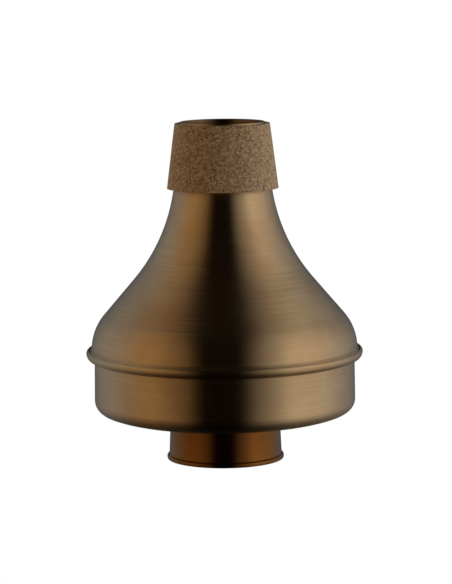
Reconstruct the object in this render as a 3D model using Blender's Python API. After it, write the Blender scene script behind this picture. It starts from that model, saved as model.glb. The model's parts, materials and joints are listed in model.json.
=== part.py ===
"""A trombone wah-wah mute: a spun metal body that a cork collar seats in the bell, and a sliding stem with a cup.

Metres, +Z up. Every piece is turned about the Z axis, and the mute stands on the rim of its cup at Z = 0.
An outline is a list of (radius, height) points that runs down the outer side of its piece and back up the inner
one. A path is the outer side alone, and the sheet's other side is offset from it.
"""

import math

import bmesh
import bpy

MM = 0.001

# Sheet, fits and turning
SHEET = 0.6 * MM  # thickness of every spun or drawn wall
CONTACT_GAP = 0.3 * MM  # between two pieces that touch or are joined
RUNNING_GAP = 0.8 * MM  # round the stem where nothing grips it
TURN_STEPS = 48
EDGE_ANGLE = math.radians(35)  # faces that meet at more than this keep a sharp edge

# Cup of the stem
CUP_HEIGHT = 20.3 * MM
CUP_RADIUS = 29.6 * MM  # outside of its wall, just over the rim
CUP_DRAFT = 0.7 * MM  # how much narrower the wall is at the base
CUP_CORNER = 1.5 * MM
RIM_HEIGHT = 2.6 * MM
RIM_STAND = 1.16 * MM  # how far the hemmed rim stands out from the wall
RIM_FLAT = 0.8 * MM  # width of the ring that the mute stands on

# Tube of the stem
TUBE_RADIUS = 12.7 * MM
TUBE_LENGTH = 95.0 * MM  # from the cup's base to the inner end
TUBE_FLARE = 2.8 * MM  # width of the flange under the cup's base
TUBE_LEAD = 0.2 * MM  # bevel round the inner end

# Socket that guides the stem
LINING_THICKNESS = 2.0 * MM
SOCKET_LENGTH = 28.0 * MM
SOCKET_FLANGE = 7.0 * MM
SOCKET_FILLET = 1.6 * MM

# Lower shell, a pan
BEAD_RADIUS = 72.5 * MM  # the widest circle of the mute
BEAD_HALF_WIDTH = 3.0 * MM
BEAD_RISE = 2.2 * MM  # from its widest circle to its top
BEAD_DROP = 3.5 * MM  # from its widest circle to its underside
BEAD_EDGE = 52.0  # degrees over the widest circle at which the rolled edge ends
PAN_STEP = 4.3 * MM  # how far the bead stands out from the pan's wall
PAN_FILLET = 0.7 * MM
PAN_WALL = 20.8 * MM  # straight height of the wall
PAN_DRAFT = 0.25 * MM
PAN_CORNER = 7.0 * MM
PAN_KNUCKLE = 45.0 * MM  # radius of the blend from the corner to the dished bottom
KNUCKLE_SLOPE = 20.7  # degrees from level at the outer end of that blend
DISH_SLOPE = 10.3  # degrees from level at its inner end
LAND_MARGIN = 0.3 * MM  # how far the flat middle of the pan reaches past the cup

# Upper shell, from the bead to the neck
SHELL_STEP = 2.8 * MM  # how far the bead stands out from the shell's wall
FLANGE_FILLET = 0.5 * MM
HOOK_START = 50.0  # degrees over the widest circle at which the hooked flange curves down
HOOK_END = -35.0
WALL_SLOPE = 2.25  # degrees from upright, just over the bead
SHOULDER_RADIUS = 27.5 * MM
CONE_SLOPE = 40.5  # degrees from upright of the straight cone
FLARE_RADIUS = 93.5 * MM
NECK_TAPER = 6.0  # degrees from upright
NECK_LENGTH = 31.4 * MM
NECK_RADIUS = 22.0 * MM  # outside, at the rim

# Cork collar
CORK_LENGTH = 33.8 * MM
CORK_SETBACK = 0.7 * MM  # from the neck's rim down to the cork
CORK_TOP_THICKNESS = 2.5 * MM
CORK_BOTTOM_THICKNESS = 3.1 * MM
CORK_EDGE = 0.5 * MM

# Points along the curved stretches of a path
FINE_STEPS = 2
ARC_STEPS = 3
BEAD_STEPS = 4
LONG_STEPS = 5

BRASS_COLOUR = (0.36, 0.23, 0.105, 1.0)
DARK_BRASS_COLOUR = (0.19, 0.09, 0.035, 1.0)
CORK_COLOUR = (0.23, 0.135, 0.07, 1.0)
BUSH_COLOUR = (0.30, 0.19, 0.10, 1.0)
SEAL_COLOUR = (0.05, 0.05, 0.05, 1.0)

cup_base_radius = CUP_RADIUS - CUP_DRAFT
land_radius = cup_base_radius + LAND_MARGIN
land_height = CUP_HEIGHT + CONTACT_GAP
stem_hole = TUBE_RADIUS + RUNNING_GAP
bead_centre = BEAD_RADIUS - BEAD_HALF_WIDTH


def arc(centre, radii, start, end, steps):
    """Points on an ellipse's arc. Angles are in degrees, from outward towards up."""
    turns = [math.radians(start + (end - start) * step / steps) for step in range(steps + 1)]
    return [(centre[0] + radii[0] * math.cos(turn), centre[1] + radii[1] * math.sin(turn)) for turn in turns]


def circle_arc(centre, radius, start, end, steps):
    return arc(centre, (radius, radius), start, end, steps)


def side_of(start, end, distance):
    """The two ends of a stretch moved to its right, which is the inner side of a path that runs down."""
    along = (end[0] - start[0], end[1] - start[1])
    length = math.hypot(*along)
    shift = (along[1] / length * distance, -along[0] / length * distance)
    return [(point[0] + shift[0], point[1] + shift[1]) for point in (start, end)]


def meeting_point(first, second):
    """Where the lines through two stretches cross, or their shared end where they run the same way."""
    (ax, az), (bx, bz) = first
    (cx, cz), (dx, dz) = second
    cross = (bx - ax) * (dz - cz) - (bz - az) * (dx - cx)
    size = math.hypot(bx - ax, bz - az) * math.hypot(dx - cx, dz - cz)
    if abs(cross) < size * MM:
        return (bx + cx) / 2, (bz + cz) / 2
    share = ((cx - ax) * (dz - cz) - (cz - az) * (dx - cx)) / cross
    return ax + (bx - ax) * share, az + (bz - az) * share


def offset(path, distance):
    """The path moved sideways by the same distance all along, to the right of the way that it runs."""
    sides = [side_of(start, end, distance) for start, end in zip(path, path[1:])]
    corners = [meeting_point(first, second) for first, second in zip(sides, sides[1:])]
    return [sides[0][0], *corners, sides[-1][1]]


def sheet_outline(path):
    """A path given the thickness of the sheet."""
    return path + offset(path, SHEET)[::-1]


def radius_at(path, height):
    """The radius of a path that runs down, at one height."""
    for (upper_radius, upper), (lower_radius, lower) in zip(path, path[1:]):
        if lower <= height <= upper:
            return lower_radius + (upper_radius - lower_radius) * (height - lower) / (upper - lower)
    raise ValueError(f"the path does not pass height {height}")


def lower_shell_path():
    """From the rolled edge of the bead down the pan's wall and in to the stem's hole, over the pan's land."""
    knuckle, dish = math.radians(KNUCKLE_SLOPE), math.radians(DISH_SLOPE)
    pan_top = BEAD_RADIUS - PAN_STEP
    pan_radius = pan_top + PAN_DRAFT
    knuckle_end = pan_radius - PAN_CORNER * (1 - math.sin(knuckle))
    dish_end = knuckle_end - PAN_KNUCKLE * (math.sin(knuckle) - math.sin(dish))
    dish_radius = (dish_end - land_radius) / math.sin(dish)

    dish_centre = (land_radius, dish_radius)
    dish_arc = circle_arc(dish_centre, dish_radius, DISH_SLOPE - 90, -90, ARC_STEPS)
    shift = dish_radius - PAN_KNUCKLE
    knuckle_centre = (land_radius + shift * math.sin(dish), dish_radius - shift * math.cos(dish))
    knuckle_arc = circle_arc(knuckle_centre, PAN_KNUCKLE, KNUCKLE_SLOPE - 90, DISH_SLOPE - 90, FINE_STEPS)
    shift = PAN_KNUCKLE - PAN_CORNER
    corner_centre = (
        knuckle_centre[0] + shift * math.sin(knuckle),
        knuckle_centre[1] - shift * math.cos(knuckle),
    )
    corner_arc = circle_arc(corner_centre, PAN_CORNER, 0, KNUCKLE_SLOPE - 90, BEAD_STEPS)

    wall_top = corner_centre[1] + PAN_WALL
    fillet_arc = circle_arc((pan_top + PAN_FILLET, wall_top), PAN_FILLET, 90, 180, ARC_STEPS)
    centre = (bead_centre, wall_top + PAN_FILLET + BEAD_DROP)
    upper_roll = arc(centre, (BEAD_HALF_WIDTH, BEAD_RISE), BEAD_EDGE, 0, ARC_STEPS)
    lower_roll = arc(centre, (BEAD_HALF_WIDTH, BEAD_DROP), 0, -90, BEAD_STEPS)
    path = upper_roll + lower_roll[1:] + fillet_arc + corner_arc + knuckle_arc[1:] + dish_arc[1:]
    return path + [(stem_hole, 0.0)], centre[1]


def upper_shell_path(seam_height):
    """From the neck's rim down the neck, the flare, the cone and the shoulder, to the hook inside the bead."""
    taper, slope, wall = math.radians(NECK_TAPER), math.radians(CONE_SLOPE), math.radians(WALL_SLOPE)
    flange_height = seam_height + BEAD_RISE
    wall_radius = BEAD_RADIUS - SHELL_STEP
    fillet_centre = (wall_radius + FLANGE_FILLET * math.cos(wall), flange_height + FLANGE_FILLET)
    wall_end = fillet_centre[1] - FLANGE_FILLET * math.sin(wall)
    fillet_arc = circle_arc(fillet_centre, FLANGE_FILLET, 180 + WALL_SLOPE, 270, FINE_STEPS)

    shoulder_centre = (
        wall_radius - SHOULDER_RADIUS * math.cos(wall),
        wall_end - SHOULDER_RADIUS * math.sin(wall),
    )
    shoulder_arc = circle_arc(shoulder_centre, SHOULDER_RADIUS, CONE_SLOPE, WALL_SLOPE, LONG_STEPS)
    cone_end = shoulder_arc[0]

    flare_start = NECK_RADIUS + NECK_LENGTH * math.tan(taper)
    flare_end = flare_start + FLARE_RADIUS * (math.cos(taper) - math.cos(slope))
    cone_height = (cone_end[0] - flare_end) / math.tan(slope)
    flare_centre = (
        flare_end + FLARE_RADIUS * math.cos(slope),
        cone_end[1] + cone_height + FLARE_RADIUS * math.sin(slope),
    )
    flare_arc = circle_arc(flare_centre, FLARE_RADIUS, 180 + NECK_TAPER, 180 + CONE_SLOPE, LONG_STEPS)

    hook_centre = (bead_centre, seam_height)
    inset = SHEET + CONTACT_GAP
    hook_width = BEAD_HALF_WIDTH - inset
    upper_hook = arc(hook_centre, (hook_width, BEAD_RISE - inset), HOOK_START, 0, ARC_STEPS)
    lower_hook = arc(hook_centre, (hook_width, BEAD_DROP - inset), 0, HOOK_END, FINE_STEPS)
    rim = (NECK_RADIUS, flare_arc[0][1] + NECK_LENGTH)
    return [rim] + flare_arc + shoulder_arc + fillet_arc[1:] + upper_hook + lower_hook[1:]


def seal_outline(seam_height):
    """A ring of sealing compound in the hollow of the hooked flange, open to the inside of the body."""
    centre = (bead_centre, seam_height)
    inset = 2 * (SHEET + CONTACT_GAP)
    half_width = BEAD_HALF_WIDTH - inset
    upper = arc(centre, (half_width, BEAD_RISE - inset), 180, 0, BEAD_STEPS)
    lower = arc(centre, (half_width, BEAD_DROP - SHEET - CONTACT_GAP), 0, -180, LONG_STEPS)
    return upper + lower[1:-1]


def cork_outline(shell_path):
    """A tapered sleeve on the neck and the top of the flare, with eased upper edges."""
    top = shell_path[0][1] - CORK_SETBACK
    bottom = top - CORK_LENGTH
    heights = [point[1] for point in shell_path if bottom < point[1] < top]
    inner = [(radius_at(shell_path, height) + CONTACT_GAP, height) for height in (bottom, *heights[::-1], top)]
    outer_top = inner[-1][0] + CORK_TOP_THICKNESS
    outer_bottom = inner[0][0] + CORK_BOTTOM_THICKNESS
    edge = circle_arc((outer_top - CORK_EDGE, top - CORK_EDGE), CORK_EDGE, 90, 0, FINE_STEPS)
    return edge + [(outer_bottom, bottom)] + inner


def socket_outline(floor):
    """A flanged sleeve on the pan's inner side, with a lip turned in over the lining."""
    sleeve = TUBE_RADIUS + CONTACT_GAP + LINING_THICKNESS + CONTACT_GAP + SHEET
    top = floor + SOCKET_LENGTH
    crown = circle_arc((sleeve - SHEET, top - SHEET), SHEET, 90, 0, FINE_STEPS)
    foot_centre = (sleeve + SOCKET_FILLET, floor + SHEET + SOCKET_FILLET)
    foot = circle_arc(foot_centre, SOCKET_FILLET, 180, 270, ARC_STEPS)
    flange_end = sleeve + SOCKET_FLANGE
    outside = [(stem_hole, top)] + crown + foot + [(flange_end, floor + SHEET)]
    inside = [(flange_end, floor), (sleeve - SHEET, floor), (sleeve - SHEET, top - SHEET)]
    return outside + inside + [(stem_hole, top - SHEET)]


def lining_outline(floor):
    """A bush that fills the socket between the pan and the socket's lip and grips the stem."""
    bore = TUBE_RADIUS + CONTACT_GAP
    outside = bore + LINING_THICKNESS
    top = floor + SOCKET_LENGTH - SHEET - CONTACT_GAP
    return [(bore, top), (outside, top), (outside, floor), (bore, floor)]


def tube_outline():
    """A straight tube from its bevelled inner end down to the flange that holds the cup's base."""
    top = CUP_HEIGHT + TUBE_LENGTH
    flange_top = CUP_HEIGHT - SHEET - CONTACT_GAP
    flange_bottom = flange_top - SHEET
    flange_end = TUBE_RADIUS + TUBE_FLARE
    bore = TUBE_RADIUS - SHEET
    outside = [
        (TUBE_RADIUS - TUBE_LEAD, top),
        (TUBE_RADIUS, top - TUBE_LEAD),
        (TUBE_RADIUS, flange_top),
        (flange_end, flange_top),
        (flange_end, flange_bottom),
    ]
    throat = circle_arc((bore + SHEET, flange_bottom + SHEET), SHEET, 270, 180, ARC_STEPS)
    return outside + throat + [(bore, top)]


def cup_outline():
    """A shallow cup, mouth down, with the stem's hole in its base and its rim hemmed outward."""
    corner_centre = (cup_base_radius - CUP_CORNER, CUP_HEIGHT - CUP_CORNER)
    corner = circle_arc(corner_centre, CUP_CORNER, 90, 0, ARC_STEPS)
    inner_corner = circle_arc(corner_centre, CUP_CORNER - SHEET, 0, 90, ARC_STEPS)
    rim_inside = CUP_RADIUS - SHEET
    rim_outside = CUP_RADIUS + RIM_STAND
    half_height = RIM_HEIGHT / 2
    middle = (rim_inside + rim_outside) / 2
    flat_outer = middle + RIM_FLAT / 2
    flat_inner = middle - RIM_FLAT / 2
    upper_rim = arc((CUP_RADIUS, half_height), (RIM_STAND, half_height), 90, 0, ARC_STEPS)
    lower_rim = arc((flat_outer, half_height), (rim_outside - flat_outer, half_height), 0, -90, ARC_STEPS)
    inner_rim = arc((flat_inner, half_height), (flat_inner - rim_inside, half_height), -90, -180, ARC_STEPS)
    hole = TUBE_RADIUS + CONTACT_GAP
    outside = [(hole, CUP_HEIGHT)] + corner + upper_rim + lower_rim[1:] + inner_rim
    return outside + inner_corner + [(hole, CUP_HEIGHT - SHEET)]


def surface(name, colour, roughness, metallic):
    """A plain surface with one colour."""
    material = bpy.data.materials.new(name)
    material.use_nodes = True
    shader = material.node_tree.nodes["Principled BSDF"]
    shader.inputs["Base Color"].default_value = colour
    shader.inputs["Roughness"].default_value = roughness
    shader.inputs["Metallic"].default_value = metallic
    material.diffuse_color = colour
    return material


def turned(name, outline, material, parent):
    """One closed piece: the outline spun once about the Z axis."""
    model = bmesh.new()
    corners = [model.verts.new((radius, 0.0, height)) for radius, height in outline]
    edges = [model.edges.new(pair) for pair in zip(corners, corners[1:] + corners[:1])]
    bmesh.ops.spin(
        model,
        geom=corners + edges,
        cent=(0.0, 0.0, 0.0),
        axis=(0.0, 0.0, 1.0),
        angle=math.tau,
        steps=TURN_STEPS,
        use_merge=True,
    )
    bmesh.ops.recalc_face_normals(model, faces=model.faces)
    mesh = bpy.data.meshes.new(name)
    model.to_mesh(mesh)
    model.free()
    mesh.materials.append(material)
    mesh.shade_smooth()
    mesh.set_sharp_from_angle(angle=EDGE_ANGLE)
    piece = bpy.data.objects.new(name, mesh)
    bpy.context.scene.collection.objects.link(piece)
    piece.parent = parent
    return piece


def axis_empty(name, height):
    empty = bpy.data.objects.new(name, None)
    bpy.context.scene.collection.objects.link(empty)
    empty.location.z = height
    return empty


def clear_scene():
    for old in list(bpy.data.objects):
        bpy.data.objects.remove(old, do_unlink=True)


def build_body():
    """The fixed pieces. Their heights are over the underside of the pan's land, which the cup's base meets."""
    body = axis_empty("body_axis", land_height)
    lower_path, seam_height = lower_shell_path()
    upper_path = upper_shell_path(seam_height)
    floor = SHEET + CONTACT_GAP
    brass = surface("spun_brass", BRASS_COLOUR, 0.35, 1.0)
    turned("lower_shell", sheet_outline(lower_path), brass, body)
    turned("upper_shell", sheet_outline(upper_path), brass.copy(), body)
    turned("seam_seal", seal_outline(seam_height), surface("compound", SEAL_COLOUR, 0.8, 0.0), body)
    turned("cork_collar", cork_outline(upper_path), surface("cork", CORK_COLOUR, 0.9, 0.0), body)
    turned("stem_socket", socket_outline(floor), surface("drawn_brass", BRASS_COLOUR, 0.4, 1.0), body)
    turned("socket_lining", lining_outline(floor), surface("bush_cork", BUSH_COLOUR, 0.9, 0.0), body)


def build_stem():
    """The sliding pieces, on the axis that they slide along."""
    stem = axis_empty("stem_axis", 0.0)
    turned("stem_tube", tube_outline(), surface("tube_brass", BRASS_COLOUR, 0.35, 1.0), stem)
    turned("stem_cup", cup_outline(), surface("cup_brass", DARK_BRASS_COLOUR, 0.35, 1.0), stem)


def main():
    clear_scene()
    build_body()
    build_stem()


main()
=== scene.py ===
"""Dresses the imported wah-wah mute in turned brass and cork, in a light tent, and sets the camera.

Metres, +Z up. Every piece is turned about the Z axis. An outline is a list of (radius, height)
points that runs down the outer side of its piece and back up the inner one. A path is the outer
side alone. Heights of the body's pieces are over the flat land of the pan, which the cup's base
meets.
"""

import json
import math

import bmesh
import bpy
from bpy.props import FloatProperty, FloatVectorProperty, IntProperty, PointerProperty
from bpy.types import Operator, Panel, PropertyGroup
from mathutils import Matrix, Vector

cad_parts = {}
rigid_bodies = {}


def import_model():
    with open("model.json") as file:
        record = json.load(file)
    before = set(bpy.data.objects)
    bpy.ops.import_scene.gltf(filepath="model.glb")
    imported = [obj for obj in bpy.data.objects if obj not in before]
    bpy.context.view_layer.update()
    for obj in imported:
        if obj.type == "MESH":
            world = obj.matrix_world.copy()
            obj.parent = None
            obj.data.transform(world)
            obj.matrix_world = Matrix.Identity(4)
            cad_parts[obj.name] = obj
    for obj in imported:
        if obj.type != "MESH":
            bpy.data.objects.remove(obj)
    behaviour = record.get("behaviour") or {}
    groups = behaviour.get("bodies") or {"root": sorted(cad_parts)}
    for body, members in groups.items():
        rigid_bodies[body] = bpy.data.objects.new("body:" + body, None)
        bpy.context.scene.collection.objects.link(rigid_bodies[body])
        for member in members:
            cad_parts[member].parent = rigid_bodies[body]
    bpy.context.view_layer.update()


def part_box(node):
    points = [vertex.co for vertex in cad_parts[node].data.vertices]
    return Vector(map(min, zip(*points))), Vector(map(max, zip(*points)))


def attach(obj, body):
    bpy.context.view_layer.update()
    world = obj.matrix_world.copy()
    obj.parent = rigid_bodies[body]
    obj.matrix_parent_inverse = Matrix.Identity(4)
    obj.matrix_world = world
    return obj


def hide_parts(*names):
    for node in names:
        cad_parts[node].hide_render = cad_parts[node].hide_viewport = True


bl_info = {
    "name": "Wah-wah mute",
    "version": (1, 0, 0),
    "blender": (4, 5, 0),
    "location": "3D View > Sidebar > Mute",
    "description": "Turns and finishes the pieces of a trombone wah-wah mute in its light tent",
    "category": "Object",
}


def clear_scene():
    for old in list(bpy.data.objects):
        bpy.data.objects.remove(old, do_unlink=True)


clear_scene()
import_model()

MM = 0.001
QUARTER = math.pi / 2
TREE_NAME = "Turned piece"

FIT_TOLERANCE = 0.25 * MM  # between a piece's box and that of its solid
MERGE_DISTANCE = 0.001 * MM
PARALLEL = 0.001  # sine of the angle under which two stretches run the same way
EDGE_ANGLE = math.radians(35)  # faces that meet at more than this keep a sharp edge

# Points along the curved stretches of an outline
FINE_STEPS = 6
ARC_STEPS = 10
LONG_STEPS = 28

# Grain of the cork's surface
CORK_TURNS = 384
CORK_STRETCH = 0.5 * MM
GRAIN_SEED = 7.0

# Marks in the finishes, in waves per metre
MARKS_ROUND = 22.0
MARKS_OVER = 950.0
PATCH_WAVES = 45.0
GRANULES = 1150.0
CORK_SPECKS = 2600.0
ACROSS_THE_MARKS = 0.25  # of a full turn, from along the marks to over them
MARK_DEPTH = 0.015 * MM
CORK_DEPTH = 0.25 * MM
MARK_BUMP = 0.25
CORK_BUMP = 0.35

# Detail of each pattern, and the stretch of its values that tells
MARK_DETAIL = 5.0
PATCH_DETAIL = 3.0
SPECK_DETAIL = 4.0
MARK_SPAN = (0.3, 0.7)
PATCH_SPAN = (0.4, 0.7)
SPECK_SPAN = (0.55, 0.75)

# What the patterns make of a surface
MARK_TONES = (0.86, 1.1)
MARK_ROUGHNESS = (0.88, 1.12)
SPECK_SHARE = 0.5
GRANULE_TONES = ((0.18, 0.72), (0.5, 1.0), (0.8, 1.2))  # place on the ramp and brightness
CORK_ROUGHNESS = 0.8
BUSH_ROUGHNESS = 0.85
SEAL_ROUGHNESS = 0.8

# A mix node's colour sockets share their names with others, so they go by place
FIRST_COLOUR = 6
SECOND_COLOUR = 7
MIXED_COLOUR = 2

# Brightness round the object, by the sideways part of the direction, from left (-1) to right (1)
FRONT_LIGHT = (
    (-1.0, 0.46),
    (-0.87, 0.46),
    (-0.53, 0.19),
    (-0.42, 0.06),
    (-0.3, 0.008),
    (0.2, 0.008),
    (0.3, 0.05),
    (0.45, 0.22),
    (0.7, 0.52),
    (0.86, 0.9),
    (1.0, 0.8),
)
BACK_LIGHT = (
    (-1.0, 0.46),
    (-0.8, 0.4),
    (-0.6, 0.3),
    (-0.3, 0.15),
    (-0.04, 0.04),
    (0.04, 0.04),
    (0.3, 0.15),
    (0.6, 0.32),
    (0.8, 0.5),
    (1.0, 0.8),
)

# By the backward part of the direction, where the light from behind sets in and is full
BACK_STARTS = -0.2
BACK_FULL = 0.4

# By the upward part of the direction, where the tent's dim floor ends and its walls start
FLOOR_ENDS = -0.75
WALLS_START = -0.15
FLOOR_LIGHT = 0.12

TENT_SEGMENTS = 48
SENSOR_SIZE = 36.0


def distance(name, description, millimetres):
    """A length, given here in millimetres and kept in metres."""
    return FloatProperty(
        name=name, description=description, default=millimetres * MM, precision=5, unit="LENGTH"
    )


def slope(name, description, degrees):
    """An angle, given here in degrees and kept in radians."""
    return FloatProperty(
        name=name, description=description, default=math.radians(degrees), subtype="ANGLE"
    )


def share(name, description, value):
    return FloatProperty(
        name=name, description=description, default=value, min=0.0, max=1.0, subtype="FACTOR"
    )


def tint(name, description, value):
    return FloatVectorProperty(
        name=name,
        description=description,
        default=value,
        size=3,
        min=0.0,
        max=1.0,
        subtype="COLOR",
    )


class MuteFits(PropertyGroup):
    """Sheet, clearances and fineness of the turned pieces."""

    sheet: distance("Sheet", "Thickness of every spun or drawn wall", 0.6)
    contact_gap: distance("Contact Gap", "Between two pieces that touch or are joined", 0.3)
    running_gap: distance("Running Gap", "Round the stem where nothing grips it", 0.8)
    turns: IntProperty(
        name="Turn Steps", description="Steps round the axis", default=256, min=48, max=512
    )


class MutePan(PropertyGroup):
    """The lower shell and the bead that it is rolled into."""

    bead_radius: distance("Bead Radius", "The widest circle of the mute", 72.5)
    bead_half_width: distance("Bead Half Width", "Half the width of the rolled section", 3.0)
    bead_rise: distance("Bead Rise", "From the widest circle to the bead's top", 2.2)
    bead_drop: distance("Bead Drop", "From the widest circle to the bead's underside", 3.5)
    bead_edge: slope("Bead Edge", "Angle over the widest circle where the rolled edge ends", 52.0)
    step: distance("Step", "How far the bead stands out from the pan's wall", 4.3)
    fillet: distance("Fillet", "Radius between the bead and the wall", 0.7)
    wall: distance("Wall", "Straight height of the wall", 20.8)
    draft: distance("Draft", "How much wider the wall is at its foot", 0.25)
    corner: distance("Corner", "Radius of the corner under the wall", 7.0)
    knuckle: distance("Knuckle", "Radius of the blend from the corner to the dished bottom", 45.0)
    knuckle_slope: slope("Knuckle Slope", "From level at the outer end of the blend", 20.7)
    dish_slope: slope("Dish Slope", "From level at the inner end of the blend", 10.3)
    land_margin: distance("Land Margin", "How far the flat middle reaches past the cup", 0.3)


class MuteShell(PropertyGroup):
    """The upper shell, from its hooked flange to the neck."""

    step: distance("Step", "How far the bead stands out from the shell's wall", 2.8)
    flange_fillet: distance("Flange Fillet", "Radius between the wall and the flange", 0.5)
    hook_start: slope("Hook Start", "Angle at which the hooked flange curves down", 50.0)
    hook_end: slope("Hook End", "Angle at which the hooked flange ends", -35.0)
    wall_slope: slope("Wall Slope", "From upright, just over the bead", 2.25)
    shoulder_radius: distance("Shoulder Radius", "Radius of the round shoulder", 27.5)
    cone_slope: slope("Cone Slope", "From upright of the straight cone", 40.5)
    flare_radius: distance("Flare Radius", "Radius of the hollow curve up to the neck", 93.5)
    neck_taper: slope("Neck Taper", "From upright", 6.0)
    neck_length: distance("Neck Length", "Straight length of the neck", 31.4)
    neck_radius: distance("Neck Radius", "Outside, at the rim", 22.0)


class MuteCork(PropertyGroup):
    """The cork collar that seats in the bell."""

    height: distance("Height", "From its lower edge to its upper one", 33.8)
    setback: distance("Setback", "From the neck's rim down to the cork", 0.7)
    top_thickness: distance("Top Thickness", "Thickness at the upper edge", 2.5)
    bottom_thickness: distance("Bottom Thickness", "Thickness at the lower edge", 3.1)
    edge: distance("Edge", "Radius of the eased upper edges", 0.5)
    grain_depth: distance("Grain Depth", "How far the granules stand in and out", 0.22)
    grain_waves: FloatProperty(
        name="Grain", description="Granules per metre", default=900.0, min=1.0
    )


class MuteSocket(PropertyGroup):
    """The sleeve that guides the stem, with its lining."""

    lining: distance("Lining", "Thickness of the lining", 2.0)
    height: distance("Height", "From the pan's floor to the socket's lip", 28.0)
    flange: distance("Flange", "Width of the foot", 7.0)
    fillet: distance("Fillet", "Radius between the sleeve and the foot", 1.6)


class MuteTube(PropertyGroup):
    """The tube of the stem."""

    radius: distance("Radius", "Outside", 12.7)
    height: distance("Height", "From the cup's base to the inner end", 95.0)
    flare: distance("Flare", "Width of the flange under the cup's base", 2.8)
    lead: distance("Lead", "Bevel round the inner end", 0.2)


class MuteCup(PropertyGroup):
    """The cup of the stem, mouth down."""

    height: distance("Height", "From the rim to the base", 20.3)
    radius: distance("Radius", "Outside of its wall, just over the rim", 29.6)
    draft: distance("Draft", "How much narrower the wall is at the base", 0.7)
    corner: distance("Corner", "Radius between the wall and the base", 1.5)
    rim_height: distance("Rim Height", "Height of the hemmed rim", 2.6)
    rim_stand: distance("Rim Stand", "How far the hemmed rim stands out from the wall", 1.16)
    rim_flat: distance("Rim Flat", "Width of the ring that the mute stands on", 0.8)


class MuteFinish(PropertyGroup):
    """Colours and surfaces, in linear values."""

    brass: tint("Brass", "Colour of the spun body", (0.62, 0.41, 0.235))
    stem_brass: tint("Stem Brass", "Colour of the stem's tube and socket", (0.6, 0.4, 0.22))
    # The cup's colour is its own redder brass, made darker still by a painted shade where the pan
    # above shadows the cup
    cup_brass: tint("Cup Brass", "Colour of the redder cup", (0.27, 0.105, 0.026))
    patina: tint("Patina", "Share of the brass colour left in the patches", (0.82, 0.66, 0.62))
    patina_share: share("Patina Share", "How strongly the patches show", 0.6)
    roughness: share("Brass Roughness", "Mean roughness of the brass", 0.3)
    anisotropy: share("Anisotropy", "How strongly the marks stretch a highlight", 0.97)
    cork_dark: tint("Cork Dark", "Darkest granules", (0.2, 0.105, 0.05))
    cork_middle: tint("Cork Middle", "Most granules", (0.4, 0.235, 0.125))
    cork_light: tint("Cork Light", "Lightest granules", (0.58, 0.4, 0.26))
    bush: tint("Bush", "Colour of the socket's lining", (0.3, 0.19, 0.1))
    seal: tint("Seal", "Colour of the sealing compound", (0.05, 0.05, 0.05))


class MuteStage(PropertyGroup):
    """The camera and the tent."""

    camera_distance: distance("Camera Distance", "Level distance in front of the axis", 1391.4)
    camera_height: distance("Camera Height", "Over the plane that the mute stands on", 273.5)
    camera_side: distance("Camera Side", "To the right of the axis", 1.09)
    camera_tilt: slope("Camera Tilt", "Below the horizon", 7.597)
    camera_roll: slope("Camera Roll", "Clockwise, seen from behind the camera", 0.607)
    lens: FloatProperty(
        name="Lens", description="Focal length in millimetres", default=165.265, unit="CAMERA"
    )
    tent_radius: distance("Tent Radius", "Radius of the light tent", 2200.0)
    tent_strength: FloatProperty(
        name="Tent Strength", description="Brightness of the tent", default=1.0, min=0.0
    )
    tent_left: tint("Tent Left", "Colour of the light from the left", (1.0, 0.76, 0.42))
    tent_right: tint("Tent Right", "Colour of the light from the right", (0.98, 1.0, 0.9))
    tent_back: tint("Tent Back", "Colour of the light from behind", (0.85, 0.95, 1.0))
    tent_fill: FloatProperty(
        name="Tent Fill",
        description="How many times more the tent lights matt surfaces",
        default=1.9,
        min=0.0,
    )


class MuteSettings(PropertyGroup):
    """All sizes, finishes and stage values of the mute."""

    fits: PointerProperty(type=MuteFits, name="Fits", description="Sheet and clearances")
    pan: PointerProperty(type=MutePan, name="Pan", description="The lower shell")
    shell: PointerProperty(type=MuteShell, name="Shell", description="The upper shell")
    cork: PointerProperty(type=MuteCork, name="Cork", description="The cork collar")
    socket: PointerProperty(type=MuteSocket, name="Socket", description="The stem's guide")
    tube: PointerProperty(type=MuteTube, name="Tube", description="The stem's tube")
    cup: PointerProperty(type=MuteCup, name="Cup", description="The stem's cup")
    finish: PointerProperty(type=MuteFinish, name="Finish", description="Colours and surfaces")
    stage: PointerProperty(type=MuteStage, name="Stage", description="Camera and tent")


def cup_base_radius(mute):
    return mute.cup.radius - mute.cup.draft


def land_height(mute):
    return mute.cup.height + mute.fits.contact_gap


def stem_hole(mute):
    return mute.tube.radius + mute.fits.running_gap


def bead_centre(mute):
    return mute.pan.bead_radius - mute.pan.bead_half_width


def arc(centre, radii, start, end, steps):
    """Points on an ellipse's arc. Angles run from outward towards up."""
    turns = [start + (end - start) * step / steps for step in range(steps + 1)]
    return [
        (centre[0] + radii[0] * math.cos(turn), centre[1] + radii[1] * math.sin(turn))
        for turn in turns
    ]


def circle_arc(centre, radius, start, end, steps):
    return arc(centre, (radius, radius), start, end, steps)


def side_of(start, end, distance_over):
    """The ends of a stretch moved to its right, the inner side of a path that runs down."""
    along = (end[0] - start[0], end[1] - start[1])
    length = math.hypot(*along)
    shift = (along[1] / length * distance_over, -along[0] / length * distance_over)
    return [(point[0] + shift[0], point[1] + shift[1]) for point in (start, end)]


def meeting_point(first, second):
    """Where the lines through two stretches cross, or their shared end if they are parallel."""
    (ax, az), (bx, bz) = first
    (cx, cz), (dx, dz) = second
    cross = (bx - ax) * (dz - cz) - (bz - az) * (dx - cx)
    size = math.hypot(bx - ax, bz - az) * math.hypot(dx - cx, dz - cz)
    if abs(cross) < size * PARALLEL:
        return (bx + cx) / 2, (bz + cz) / 2
    along = ((cx - ax) * (dz - cz) - (cz - az) * (dx - cx)) / cross
    return ax + (bx - ax) * along, az + (bz - az) * along


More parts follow.
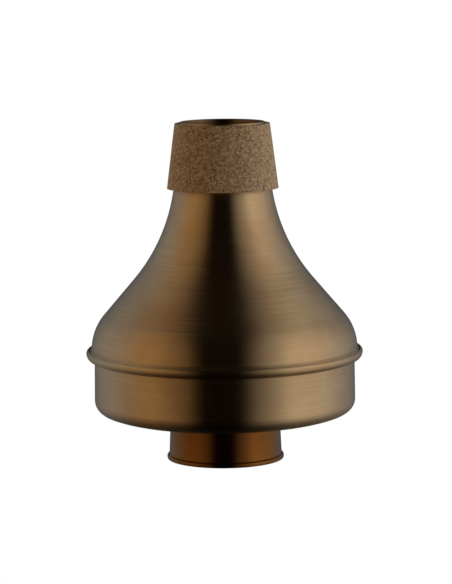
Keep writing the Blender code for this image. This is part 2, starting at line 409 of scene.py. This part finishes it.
def sheet_outline(path, thickness):
    """A path given the thickness of the sheet."""
    sides = [side_of(start, end, thickness) for start, end in zip(path, path[1:])]
    corners = [meeting_point(first, second) for first, second in zip(sides, sides[1:])]
    return path + [sides[0][0], *corners, sides[-1][1]][::-1]


def raised(outline, height):
    return [(radius, level + height) for radius, level in outline]


def subdivided(outline, longest):
    """The closed outline with no stretch longer than that."""
    points = []
    for start, end in zip(outline, outline[1:] + outline[:1]):
        parts = max(1, math.ceil(math.dist(start, end) / longest))
        for part in range(parts):
            along = part / parts
            points.append(
                (start[0] + (end[0] - start[0]) * along, start[1] + (end[1] - start[1]) * along)
            )
    return points


def radius_at(path, height):
    """The radius of a path that runs down, at one height."""
    for (upper_radius, upper), (lower_radius, lower) in zip(path, path[1:]):
        if lower <= height <= upper:
            return lower_radius + (upper_radius - lower_radius) * (height - lower) / (upper - lower)
    raise RuntimeError(f"the path does not pass height {height}")


def lower_shell_path(mute):
    """From the bead's rolled edge down and in to the stem's hole, and the height of the seam."""
    pan = mute.pan
    knuckle, dish = pan.knuckle_slope, pan.dish_slope
    pan_top = pan.bead_radius - pan.step
    pan_radius = pan_top + pan.draft
    land_radius = cup_base_radius(mute) + pan.land_margin
    knuckle_end = pan_radius - pan.corner * (1 - math.sin(knuckle))
    dish_end = knuckle_end - pan.knuckle * (math.sin(knuckle) - math.sin(dish))
    dish_radius = (dish_end - land_radius) / math.sin(dish)

    dish_centre = (land_radius, dish_radius)
    dish_arc = circle_arc(dish_centre, dish_radius, dish - QUARTER, -QUARTER, ARC_STEPS)
    shift = dish_radius - pan.knuckle
    knuckle_centre = (land_radius + shift * math.sin(dish), dish_radius - shift * math.cos(dish))
    knuckle_arc = circle_arc(
        knuckle_centre, pan.knuckle, knuckle - QUARTER, dish - QUARTER, FINE_STEPS
    )
    shift = pan.knuckle - pan.corner
    corner_centre = (
        knuckle_centre[0] + shift * math.sin(knuckle),
        knuckle_centre[1] - shift * math.cos(knuckle),
    )
    corner_arc = circle_arc(corner_centre, pan.corner, 0.0, knuckle - QUARTER, LONG_STEPS)

    wall_top = corner_centre[1] + pan.wall
    fillet_centre = (pan_top + pan.fillet, wall_top)
    fillet_arc = circle_arc(fillet_centre, pan.fillet, QUARTER, 2 * QUARTER, FINE_STEPS)
    centre = (bead_centre(mute), wall_top + pan.fillet + pan.bead_drop)
    upper_roll = arc(centre, (pan.bead_half_width, pan.bead_rise), pan.bead_edge, 0.0, ARC_STEPS)
    lower_roll = arc(centre, (pan.bead_half_width, pan.bead_drop), 0.0, -QUARTER, ARC_STEPS)
    path = upper_roll + lower_roll[1:] + fillet_arc + corner_arc + knuckle_arc[1:] + dish_arc[1:]
    return path + [(stem_hole(mute), 0.0)], centre[1]


def upper_shell_path(mute):
    """From the neck's rim down the flare, the cone and the shoulder to the hook in the bead."""
    shell, pan, fits = mute.shell, mute.pan, mute.fits
    taper, cone, wall = shell.neck_taper, shell.cone_slope, shell.wall_slope
    seam_height = lower_shell_path(mute)[1]
    wall_radius = pan.bead_radius - shell.step
    fillet = shell.flange_fillet
    fillet_centre = (wall_radius + fillet * math.cos(wall), seam_height + pan.bead_rise + fillet)
    wall_end = fillet_centre[1] - fillet * math.sin(wall)
    fillet_arc = circle_arc(fillet_centre, fillet, 2 * QUARTER + wall, 3 * QUARTER, FINE_STEPS)

    shoulder_centre = (
        wall_radius - shell.shoulder_radius * math.cos(wall),
        wall_end - shell.shoulder_radius * math.sin(wall),
    )
    shoulder_arc = circle_arc(shoulder_centre, shell.shoulder_radius, cone, wall, LONG_STEPS)
    cone_end = shoulder_arc[0]

    flare_start = shell.neck_radius + shell.neck_length * math.tan(taper)
    flare_end = flare_start + shell.flare_radius * (math.cos(taper) - math.cos(cone))
    cone_height = (cone_end[0] - flare_end) / math.tan(cone)
    flare_centre = (
        flare_end + shell.flare_radius * math.cos(cone),
        cone_end[1] + cone_height + shell.flare_radius * math.sin(cone),
    )
    half_turn = 2 * QUARTER
    flare_arc = circle_arc(
        flare_centre, shell.flare_radius, half_turn + taper, half_turn + cone, LONG_STEPS
    )

    hook_centre = (bead_centre(mute), seam_height)
    inset = fits.sheet + fits.contact_gap
    hook_width = pan.bead_half_width - inset
    upper_radii = (hook_width, pan.bead_rise - inset)
    lower_radii = (hook_width, pan.bead_drop - inset)
    upper_hook = arc(hook_centre, upper_radii, shell.hook_start, 0.0, ARC_STEPS)
    lower_hook = arc(hook_centre, lower_radii, 0.0, shell.hook_end, FINE_STEPS)
    rim = (shell.neck_radius, flare_arc[0][1] + shell.neck_length)
    return [rim] + flare_arc + shoulder_arc + fillet_arc[1:] + upper_hook + lower_hook[1:]


def seal_outline(mute):
    """A ring of sealing compound in the hollow of the hooked flange."""
    pan, fits = mute.pan, mute.fits
    centre = (bead_centre(mute), lower_shell_path(mute)[1])
    inset = 2 * (fits.sheet + fits.contact_gap)
    half_width = pan.bead_half_width - inset
    upper = arc(centre, (half_width, pan.bead_rise - inset), 2 * QUARTER, 0.0, ARC_STEPS)
    drop = pan.bead_drop - fits.sheet - fits.contact_gap
    return upper + arc(centre, (half_width, drop), 0.0, -2 * QUARTER, ARC_STEPS)[1:-1]


def cork_outline(mute):
    """A tapered sleeve on the neck and the top of the flare, with eased upper edges."""
    cork = mute.cork
    path = upper_shell_path(mute)
    top = path[0][1] - cork.setback
    bottom = top - cork.height
    heights = [point[1] for point in path if bottom < point[1] < top]
    levels = (bottom, *heights[::-1], top)
    inner = [(radius_at(path, height) + mute.fits.contact_gap, height) for height in levels]
    outer_top = inner[-1][0] + cork.top_thickness
    outer_bottom = inner[0][0] + cork.bottom_thickness
    edge = circle_arc((outer_top - cork.edge, top - cork.edge), cork.edge, QUARTER, 0.0, FINE_STEPS)
    return edge + [(outer_bottom, bottom)] + inner


def socket_outline(mute):
    """A flanged sleeve on the pan's inner side, with a lip turned in over the lining."""
    fits, socket = mute.fits, mute.socket
    sheet = fits.sheet
    floor = sheet + fits.contact_gap
    sleeve = mute.tube.radius + 2 * fits.contact_gap + socket.lining + sheet
    top = floor + socket.height
    crown = circle_arc((sleeve - sheet, top - sheet), sheet, QUARTER, 0.0, FINE_STEPS)
    foot_centre = (sleeve + socket.fillet, floor + sheet + socket.fillet)
    foot = circle_arc(foot_centre, socket.fillet, 2 * QUARTER, 3 * QUARTER, FINE_STEPS)
    foot_end = sleeve + socket.flange
    outside = [(stem_hole(mute), top)] + crown + foot + [(foot_end, floor + sheet)]
    inside = [(foot_end, floor), (sleeve - sheet, floor), (sleeve - sheet, top - sheet)]
    return outside + inside + [(stem_hole(mute), top - sheet)]


def lining_outline(mute):
    """A bush that fills the socket between the pan and the socket's lip and grips the stem."""
    fits = mute.fits
    floor = fits.sheet + fits.contact_gap
    bore = mute.tube.radius + fits.contact_gap
    outside = bore + mute.socket.lining
    top = floor + mute.socket.height - fits.sheet - fits.contact_gap
    return [(bore, top), (outside, top), (outside, floor), (bore, floor)]


def tube_outline(mute):
    """A straight tube from its bevelled inner end down to the flange that holds the cup's base."""
    tube, sheet = mute.tube, mute.fits.sheet
    top = mute.cup.height + tube.height
    flange_top = mute.cup.height - sheet - mute.fits.contact_gap
    flange_bottom = flange_top - sheet
    flange_end = tube.radius + tube.flare
    bore = tube.radius - sheet
    outside = [
        (tube.radius - tube.lead, top),
        (tube.radius, top - tube.lead),
        (tube.radius, flange_top),
        (flange_end, flange_top),
        (flange_end, flange_bottom),
    ]
    throat_centre = (bore + sheet, flange_bottom + sheet)
    throat = circle_arc(throat_centre, sheet, 3 * QUARTER, 2 * QUARTER, FINE_STEPS)
    return outside + throat + [(bore, top)]


def cup_outline(mute):
    """A shallow cup, mouth down, with the stem's hole in its base and its rim hemmed outward."""
    cup, sheet = mute.cup, mute.fits.sheet
    corner_centre = (cup_base_radius(mute) - cup.corner, cup.height - cup.corner)
    corner = circle_arc(corner_centre, cup.corner, QUARTER, 0.0, ARC_STEPS)
    inner_corner = circle_arc(corner_centre, cup.corner - sheet, 0.0, QUARTER, ARC_STEPS)
    rim_inside = cup.radius - sheet
    rim_outside = cup.radius + cup.rim_stand
    half_height = cup.rim_height / 2
    middle = (rim_inside + rim_outside) / 2
    flat_outer = middle + cup.rim_flat / 2
    flat_inner = middle - cup.rim_flat / 2
    upper_radii = (cup.rim_stand, half_height)
    upper_rim = arc((cup.radius, half_height), upper_radii, QUARTER, 0.0, ARC_STEPS)
    lower_radii = (rim_outside - flat_outer, half_height)
    lower_rim = arc((flat_outer, half_height), lower_radii, 0.0, -QUARTER, ARC_STEPS)
    inner_radii = (flat_inner - rim_inside, half_height)
    inner_rim = arc((flat_inner, half_height), inner_radii, -QUARTER, -2 * QUARTER, ARC_STEPS)
    hole = mute.tube.radius + mute.fits.contact_gap
    outside = [(hole, cup.height)] + corner + upper_rim + lower_rim[1:] + inner_rim
    return outside + inner_corner + [(hole, cup.height - sheet)]


def add_node(tree, kind, **settings):
    node = tree.nodes.new(kind)
    for name, value in settings.items():
        setattr(node, name, value)
    return node


def feed(tree, socket, value):
    """Links a socket to the output given, or sets it to the constant given."""
    if isinstance(value, bpy.types.NodeSocket):
        tree.links.new(value, socket)
    else:
        socket.default_value = value


def math_node(tree, operation, *values):
    node = add_node(tree, "ShaderNodeMath", operation=operation)
    for socket, value in zip(node.inputs, values):
        feed(tree, socket, value)
    return node.outputs[0]


def combined(tree, *values):
    node = add_node(tree, "ShaderNodeCombineXYZ")
    for socket, value in zip(node.inputs, values):
        feed(tree, socket, value)
    return node.outputs[0]


def separated(tree, vector):
    node = add_node(tree, "ShaderNodeSeparateXYZ")
    feed(tree, node.inputs[0], vector)
    return node.outputs


def turned_tree():
    """The rule of every piece: its outline is carried once round the Z axis, closed and grained."""
    tree = bpy.data.node_groups.get(TREE_NAME)
    if tree:
        return tree
    tree = bpy.data.node_groups.new(TREE_NAME, "GeometryNodeTree")
    inputs = (
        ("Outline", "NodeSocketGeometry"),
        ("Turn Steps", "NodeSocketInt"),
        ("Grain Depth", "NodeSocketFloat"),
        ("Grain Waves", "NodeSocketFloat"),
        ("Grain Seed", "NodeSocketFloat"),
        ("Material", "NodeSocketMaterial"),
    )
    for name, kind in inputs:
        tree.interface.new_socket(name, in_out="INPUT", socket_type=kind)
    tree.interface.new_socket("Geometry", in_out="OUTPUT", socket_type="NodeSocketGeometry")
    given = add_node(tree, "NodeGroupInput").outputs
    steps = given["Turn Steps"]

    counted = add_node(tree, "GeometryNodeAttributeDomainSize", component="MESH")
    feed(tree, counted.inputs["Geometry"], given["Outline"])
    corners = counted.outputs["Point Count"]
    columns = math_node(tree, "ADD", steps, 1.0)
    grid = add_node(tree, "GeometryNodeMeshGrid")
    feed(tree, grid.inputs["Vertices X"], math_node(tree, "ADD", corners, 1.0))
    feed(tree, grid.inputs["Vertices Y"], columns)

    index = add_node(tree, "GeometryNodeInputIndex").outputs[0]
    centred = math_node(tree, "ADD", index, 0.5)
    row = math_node(tree, "FLOOR", math_node(tree, "DIVIDE", centred, columns))
    column = math_node(tree, "SUBTRACT", index, math_node(tree, "MULTIPLY", row, columns))
    sample = add_node(tree, "GeometryNodeSampleIndex", data_type="FLOAT_VECTOR", domain="POINT")
    feed(tree, sample.inputs["Geometry"], given["Outline"])
    place = add_node(tree, "GeometryNodeInputPosition").outputs[0]
    sampled = next(socket for socket in sample.inputs if socket.name == "Value" and socket.enabled)
    feed(tree, sampled, place)
    feed(tree, sample.inputs["Index"], math_node(tree, "MODULO", row, corners))
    corner = separated(tree, next(socket for socket in sample.outputs if socket.enabled))
    turn = math_node(tree, "MULTIPLY", column, math_node(tree, "DIVIDE", math.tau, steps))
    across = math_node(tree, "MULTIPLY", corner[0], math_node(tree, "COSINE", turn))
    along = math_node(tree, "MULTIPLY", corner[0], math_node(tree, "SINE", turn))
    placed = add_node(tree, "GeometryNodeSetPosition")
    feed(tree, placed.inputs["Geometry"], grid.outputs["Mesh"])
    feed(tree, placed.inputs["Position"], combined(tree, across, along, corner[2]))
    merged = add_node(tree, "GeometryNodeMergeByDistance")
    feed(tree, merged.inputs["Geometry"], placed.outputs["Geometry"])
    feed(tree, merged.inputs["Distance"], MERGE_DISTANCE)

    noise = add_node(tree, "ShaderNodeTexNoise", noise_dimensions="4D")
    feed(tree, noise.inputs["Vector"], place)
    feed(tree, noise.inputs["W"], given["Grain Seed"])
    feed(tree, noise.inputs["Scale"], given["Grain Waves"])
    swing = math_node(tree, "SUBTRACT", noise.outputs[0], 0.5)
    push = add_node(tree, "ShaderNodeVectorMath", operation="SCALE")
    feed(tree, push.inputs[0], add_node(tree, "GeometryNodeInputNormal").outputs[0])
    feed(tree, push.inputs["Scale"], math_node(tree, "MULTIPLY", swing, given["Grain Depth"]))
    grained = add_node(tree, "GeometryNodeSetPosition")
    feed(tree, grained.inputs["Geometry"], merged.outputs["Geometry"])
    feed(tree, grained.inputs["Offset"], push.outputs[0])

    realised = add_node(tree, "GeometryNodeRealizeInstances")
    feed(tree, realised.inputs["Geometry"], grained.outputs["Geometry"])
    surfaced = add_node(tree, "GeometryNodeSetMaterial")
    feed(tree, surfaced.inputs["Geometry"], realised.outputs["Geometry"])
    feed(tree, surfaced.inputs["Material"], given["Material"])
    feed(tree, add_node(tree, "NodeGroupOutput").inputs["Geometry"], surfaced.outputs["Geometry"])
    return tree


def turned(name, outline, material, turns, grain_depth, grain_waves):
    """One plain mesh: the outline turned by the shared tree, with its modifier gone."""
    corners = [(radius, 0.0, height) for radius, height in outline]
    edges = [(place, (place + 1) % len(corners)) for place in range(len(corners))]
    guide = bpy.data.meshes.new(name + "_outline")
    guide.from_pydata(corners, edges, [])
    piece = bpy.data.objects.new(name, guide)
    bpy.context.scene.collection.objects.link(piece)
    tree = turned_tree()
    modifier = piece.modifiers.new(tree.name, "NODES")
    modifier.node_group = tree
    values = {
        "Turn Steps": turns,
        "Grain Depth": grain_depth,
        "Grain Waves": grain_waves,
        "Grain Seed": GRAIN_SEED,
        "Material": material,
    }
    for socket in tree.interface.items_tree:
        if socket.in_out == "INPUT" and socket.name in values:
            modifier[socket.identifier] = values[socket.name]
    bpy.context.view_layer.update()
    evaluated = piece.evaluated_get(bpy.context.evaluated_depsgraph_get())
    mesh = bpy.data.meshes.new_from_object(evaluated)
    piece.modifiers.remove(modifier)
    piece.data = mesh
    bpy.data.meshes.remove(guide)
    mesh.name = name
    mesh.shade_smooth()
    mesh.set_sharp_from_angle(angle=EDGE_ANGLE)
    return piece


def check_closed(piece):
    """Stops on a piece that is open, empty or inside out."""
    solid = bmesh.new()
    solid.from_mesh(piece.data)
    open_edges = sum(not edge.is_manifold for edge in solid.edges)
    volume = solid.calc_volume(signed=True)
    solid.free()
    if open_edges or volume <= 0:
        raise RuntimeError(f"{piece.name} has {open_edges} open edges and a volume of {volume}")


def check_place(piece, node):
    """Stops on a piece that is not where its solid is."""
    corners = [vertex.co for vertex in piece.data.vertices]
    low = Vector([min(corner[axis] for corner in corners) for axis in range(3)])
    high = Vector([max(corner[axis] for corner in corners) for axis in range(3)])
    node_low, node_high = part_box(node)
    apart = max(*map(abs, low - node_low), *map(abs, high - node_high))
    if apart > FIT_TOLERANCE:
        raise RuntimeError(f"{piece.name} is {apart / MM:.3f} mm away from the box of {node}")


def dress(node, body, outline, material, turns, grain=(0.0, 1.0)):
    """Turns the piece that stands for a CAD node and puts it on the node's body."""
    piece = turned(node + "_turned", outline, material, turns, *grain)
    check_closed(piece)
    check_place(piece, node)
    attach(piece, body)
    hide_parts(node)


def opaque(colour, factor=1.0):
    return (*[min(1.0, part * factor) for part in colour], 1.0)


def new_material(name):
    material = bpy.data.materials.new(name)
    material.use_nodes = True
    return material, material.node_tree, material.node_tree.nodes["Principled BSDF"]


def object_place(tree):
    return add_node(tree, "ShaderNodeTexCoord").outputs["Object"]


def turned_place(tree):
    """Object coordinates drawn out round the axis, so that a pattern runs as turning marks do."""
    place = separated(tree, object_place(tree))
    flat = add_node(tree, "ShaderNodeVectorMath", operation="LENGTH")
    feed(tree, flat.inputs[0], combined(tree, place[0], place[1], 0.0))
    over = math_node(tree, "SUBTRACT", place[2], flat.outputs["Value"])
    return combined(
        tree,
        math_node(tree, "MULTIPLY", place[0], MARKS_ROUND),
        math_node(tree, "MULTIPLY", place[1], MARKS_ROUND),
        math_node(tree, "MULTIPLY", over, MARKS_OVER),
    )


def noise_value(tree, place, waves, detail):
    node = add_node(tree, "ShaderNodeTexNoise")
    feed(tree, node.inputs["Vector"], place)
    node.inputs["Scale"].default_value = waves
    node.inputs["Detail"].default_value = detail
    return node.outputs[0]


def mapped(tree, value, start, end, low, high):
    """The value carried from start..end to low..high, and held at the ends."""
    node = add_node(tree, "ShaderNodeMapRange")
    for socket, given in zip(node.inputs, (value, start, end, low, high)):
        feed(tree, socket, given)
    return node.outputs[0]


def mixed(tree, amount, first, second):
    node = add_node(tree, "ShaderNodeMix", data_type="RGBA")
    feed(tree, node.inputs[0], amount)
    feed(tree, node.inputs[FIRST_COLOUR], first)
    feed(tree, node.inputs[SECOND_COLOUR], second)
    return node.outputs[MIXED_COLOUR]


def ramp(tree, value, stops):
    """A colour ramp through stops of (place, colour), from place 0 to place 1."""
    node = add_node(tree, "ShaderNodeValToRGB")
    elements = node.color_ramp.elements
    elements[0].color = stops[0][1]
    elements[1].color = stops[-1][1]
    for place, colour in stops[1:-1]:
        elements.new(place).color = colour
    feed(tree, node.inputs[0], value)
    return node.outputs[0]


def bumped(tree, shader, height, depth, strength):
    node = add_node(tree, "ShaderNodeBump")
    feed(tree, node.inputs["Height"], height)
    node.inputs["Distance"].default_value = depth
    node.inputs["Strength"].default_value = strength
    feed(tree, shader.inputs["Normal"], node.outputs["Normal"])


def turned_brass(name, colour, finish):
    """Brass with the fine marks of turning round it, browner in soft patches."""
    material, tree, shader = new_material(name)
    marks = noise_value(tree, turned_place(tree), 1.0, MARK_DETAIL)
    patches = noise_value(tree, object_place(tree), PATCH_WAVES, PATCH_DETAIL)
    darker, lighter = (opaque(colour, tone) for tone in MARK_TONES)
    marked = mixed(tree, mapped(tree, marks, *MARK_SPAN, 0.0, 1.0), darker, lighter)
    worn = mapped(tree, patches, *PATCH_SPAN, 0.0, finish.patina_share)
    browned = [part * left for part, left in zip(colour, finish.patina)]
    feed(tree, shader.inputs["Base Color"], mixed(tree, worn, marked, opaque(browned)))
    smoother, rougher = (finish.roughness * factor for factor in MARK_ROUGHNESS)
    roughness = mapped(tree, marks, *MARK_SPAN, smoother, rougher)
    feed(tree, shader.inputs["Roughness"], roughness)
    shader.inputs["Metallic"].default_value = 1.0
    shader.inputs["Anisotropic"].default_value = finish.anisotropy
    shader.inputs["Anisotropic Rotation"].default_value = ACROSS_THE_MARKS
    bumped(tree, shader, marks, MARK_DEPTH, MARK_BUMP)
    return material


def agglomerate_cork(name, dark, middle, light):
    """Pressed cork: granules of unlike brown with dark specks between them."""
    material, tree, shader = new_material(name)
    place = object_place(tree)
    cells = add_node(tree, "ShaderNodeTexVoronoi", feature="F1")
    feed(tree, cells.inputs["Vector"], place)
    cells.inputs["Scale"].default_value = GRANULES
    granule = separated(tree, cells.outputs["Color"])[0]
    specks = noise_value(tree, place, CORK_SPECKS, SPECK_DETAIL)
    browns = [(at, opaque(middle, tone)) for at, tone in GRANULE_TONES]
    grained = ramp(tree, granule, [(0.0, opaque(dark)), *browns, (1.0, opaque(light))])
    pits = mapped(tree, specks, *SPECK_SPAN, 0.0, SPECK_SHARE)
    feed(tree, shader.inputs["Base Color"], mixed(tree, pits, grained, opaque(dark)))
    shader.inputs["Roughness"].default_value = CORK_ROUGHNESS
    relief = math_node(tree, "SUBTRACT", granule, specks)
    bumped(tree, shader, relief, CORK_DEPTH, CORK_BUMP)
    return material


def plain(name, colour, roughness):
    """An even, matt surface."""
    material, _tree, shader = new_material(name)
    shader.inputs["Base Color"].default_value = opaque(colour)
    shader.inputs["Roughness"].default_value = roughness
    return material


def tent_stops(light, left, right):
    """The ramp's stops for one half of the tent, tinted to the left and to the right."""
    stops = []
    for sideways, brightness in light:
        side = left if sideways < 0 else right
        stops.append(((sideways + 1) / 2, opaque(side, brightness)))
    return stops


def tent_material(stage):
    """Light that is dark in front and below, warm on the left, bright on the right, cool behind."""
    material = bpy.data.materials.new("tent_light")
    material.use_nodes = True
    tree = material.node_tree
    tree.nodes.clear()
    direction = add_node(tree, "ShaderNodeVectorMath", operation="NORMALIZE")
    feed(tree, direction.inputs[0], object_place(tree))
    parts = separated(tree, direction.outputs[0])
    sideways = mapped(tree, parts[0], -1.0, 1.0, 0.0, 1.0)
    behind = mapped(tree, parts[1], BACK_STARTS, BACK_FULL, 0.0, 1.0)
    front = ramp(tree, sideways, tent_stops(FRONT_LIGHT, stage.tent_left, stage.tent_right))
    back = ramp(tree, sideways, tent_stops(BACK_LIGHT, stage.tent_back, stage.tent_back))
    light = add_node(tree, "ShaderNodeEmission")
    feed(tree, light.inputs["Color"], mixed(tree, behind, front, back))
    ground = mapped(
        tree, parts[2], FLOOR_ENDS, WALLS_START, FLOOR_LIGHT, stage.tent_strength
    )
    matt = add_node(tree, "ShaderNodeLightPath").outputs["Is Diffuse Ray"]
    fill = mapped(tree, matt, 0.0, 1.0, 1.0, stage.tent_fill)
    feed(tree, light.inputs["Strength"], math_node(tree, "MULTIPLY", ground, fill))
    output = add_node(tree, "ShaderNodeOutputMaterial")
    feed(tree, output.inputs["Surface"], light.outputs[0])
    return material


def build_tent(scene, stage):
    """A round tent of light about the object. The camera sees through it to the white world."""
    model = bmesh.new()
    bmesh.ops.create_uvsphere(
        model, u_segments=TENT_SEGMENTS, v_segments=TENT_SEGMENTS // 2, radius=stage.tent_radius
    )
    mesh = bpy.data.meshes.new("light_tent")
    model.to_mesh(mesh)
    model.free()
    mesh.materials.append(tent_material(stage))
    tent = bpy.data.objects.new("light_tent", mesh)
    tent.visible_camera = False
    scene.collection.objects.link(tent)


def whiten_world(scene):
    world = bpy.data.worlds.new("white_world")
    world.use_nodes = True
    background = world.node_tree.nodes["Background"]
    background.inputs["Color"].default_value = (1.0, 1.0, 1.0, 1.0)
    background.inputs["Strength"].default_value = 1.0
    scene.world = world
    scene.view_settings.view_transform = "Standard"


def place_camera(scene, stage):
    data = bpy.data.cameras.new("photo_camera")
    data.sensor_width = SENSOR_SIZE
    data.lens = stage.lens
    camera = bpy.data.objects.new("photo_camera", data)
    scene.collection.objects.link(camera)
    place = Matrix.Translation((stage.camera_side, -stage.camera_distance, stage.camera_height))
    tilt = Matrix.Rotation(QUARTER - stage.camera_tilt, 4, "X")
    roll = Matrix.Rotation(-stage.camera_roll, 4, "Z")
    camera.matrix_world = place @ tilt @ roll
    scene.camera = camera


class MUTE_OT_upper_shell(Operator):
    """Turn the neck, the flare, the cone and the shoulder, with the flange hooked in the bead"""

    bl_idname = "mute.upper_shell"
    bl_label = "Upper Shell"

    def execute(self, context):
        mute = context.scene.mute
        outline = raised(sheet_outline(upper_shell_path(mute), mute.fits.sheet), land_height(mute))
        brass = turned_brass("shell_brass", mute.finish.brass, mute.finish)
        dress("upper_shell", "body", outline, brass, mute.fits.turns)
        return {"FINISHED"}


class MUTE_OT_lower_shell(Operator):
    """Turn the pan with its rolled bead and its dished bottom"""

    bl_idname = "mute.lower_shell"
    bl_label = "Lower Shell"

    def execute(self, context):
        mute = context.scene.mute
        sheet = sheet_outline(lower_shell_path(mute)[0], mute.fits.sheet)
        outline = raised(sheet, land_height(mute))
        brass = turned_brass("pan_brass", mute.finish.brass, mute.finish)
        dress("lower_shell", "body", outline, brass, mute.fits.turns)
        return {"FINISHED"}


class MUTE_OT_seam_seal(Operator):
    """Turn the ring of compound inside the seam"""

    bl_idname = "mute.seam_seal"
    bl_label = "Seam Seal"

    def execute(self, context):
        mute = context.scene.mute
        outline = raised(seal_outline(mute), land_height(mute))
        compound = plain("compound", mute.finish.seal, SEAL_ROUGHNESS)
        dress("seam_seal", "body", outline, compound, mute.fits.turns)
        return {"FINISHED"}


class MUTE_OT_cork_collar(Operator):
    """Turn the cork collar and grain its surface"""

    bl_idname = "mute.cork_collar"
    bl_label = "Cork Collar"

    def execute(self, context):
        mute = context.scene.mute
        finish, cork = mute.finish, mute.cork
        outline = subdivided(raised(cork_outline(mute), land_height(mute)), CORK_STRETCH)
        browns = (finish.cork_dark, finish.cork_middle, finish.cork_light)
        surface = agglomerate_cork("seat_cork", *browns)
        grain = (cork.grain_depth, cork.grain_waves)
        dress("cork_collar", "body", outline, surface, CORK_TURNS, grain)
        return {"FINISHED"}


class MUTE_OT_stem_guide(Operator):
    """Turn the socket and the lining that guide the stem"""

    bl_idname = "mute.stem_guide"
    bl_label = "Stem Guide"

    def execute(self, context):
        mute = context.scene.mute
        finish, turns = mute.finish, mute.fits.turns
        brass = turned_brass("socket_brass", finish.stem_brass, finish)
        socket = raised(socket_outline(mute), land_height(mute))
        dress("stem_socket", "body", socket, brass, turns)
        bush = plain("bush_cork", finish.bush, BUSH_ROUGHNESS)
        lining = raised(lining_outline(mute), land_height(mute))
        dress("socket_lining", "body", lining, bush, turns)
        return {"FINISHED"}


class MUTE_OT_stem(Operator):
    """Turn the sliding tube and its cup"""

    bl_idname = "mute.stem"
    bl_label = "Stem"

    def execute(self, context):
        mute = context.scene.mute
        finish, turns = mute.finish, mute.fits.turns
        tube_brass = turned_brass("tube_brass", finish.stem_brass, finish)
        dress("stem_tube", "stem", tube_outline(mute), tube_brass, turns)
        # The cup's brass holds a painted shade from the pan above it, on top of its own redder tone
        cup_brass = turned_brass("cup_brass", finish.cup_brass, finish)
        dress("stem_cup", "stem", cup_outline(mute), cup_brass, turns)
        return {"FINISHED"}


class MUTE_OT_stage(Operator):
    """Set up the white world, the light tent and the camera of the photograph"""

    bl_idname = "mute.stage"
    bl_label = "Stage"

    def execute(self, context):
        stage = context.scene.mute.stage
        whiten_world(context.scene)
        build_tent(context.scene, stage)
        place_camera(context.scene, stage)
        return {"FINISHED"}


OPERATORS = (
    MUTE_OT_upper_shell,
    MUTE_OT_lower_shell,
    MUTE_OT_seam_seal,
    MUTE_OT_cork_collar,
    MUTE_OT_stem_guide,
    MUTE_OT_stem,
    MUTE_OT_stage,
)


class MUTE_PT_sidebar(Panel):
    """The mute's operators and settings"""

    bl_label = "Wah-wah Mute"
    bl_space_type = "VIEW_3D"
    bl_region_type = "UI"
    bl_category = "Mute"

    def draw(self, context):
        for operator in OPERATORS:
            self.layout.operator(operator.bl_idname)
        for group in MuteSettings.__annotations__:
            settings = getattr(context.scene.mute, group)
            box = self.layout.box()
            box.label(text=group.title())
            for name in type(settings).__annotations__:
                box.prop(settings, name)


CLASSES = (
    MuteFits,
    MutePan,
    MuteShell,
    MuteCork,
    MuteSocket,
    MuteTube,
    MuteCup,
    MuteFinish,
    MuteStage,
    MuteSettings,
    *OPERATORS,
    MUTE_PT_sidebar,
)


def register():
    for registered in CLASSES:
        bpy.utils.register_class(registered)
    bpy.types.Scene.mute = PointerProperty(type=MuteSettings)


def unregister():
    del bpy.types.Scene.mute
    for registered in reversed(CLASSES):
        bpy.utils.unregister_class(registered)


def main():
    register()
    bpy.ops.mute.upper_shell()
    bpy.ops.mute.lower_shell()
    bpy.ops.mute.seam_seal()
    bpy.ops.mute.cork_collar()
    bpy.ops.mute.stem_guide()
    bpy.ops.mute.stem()
    bpy.ops.mute.stage()


if __name__ == "__main__":
    main()
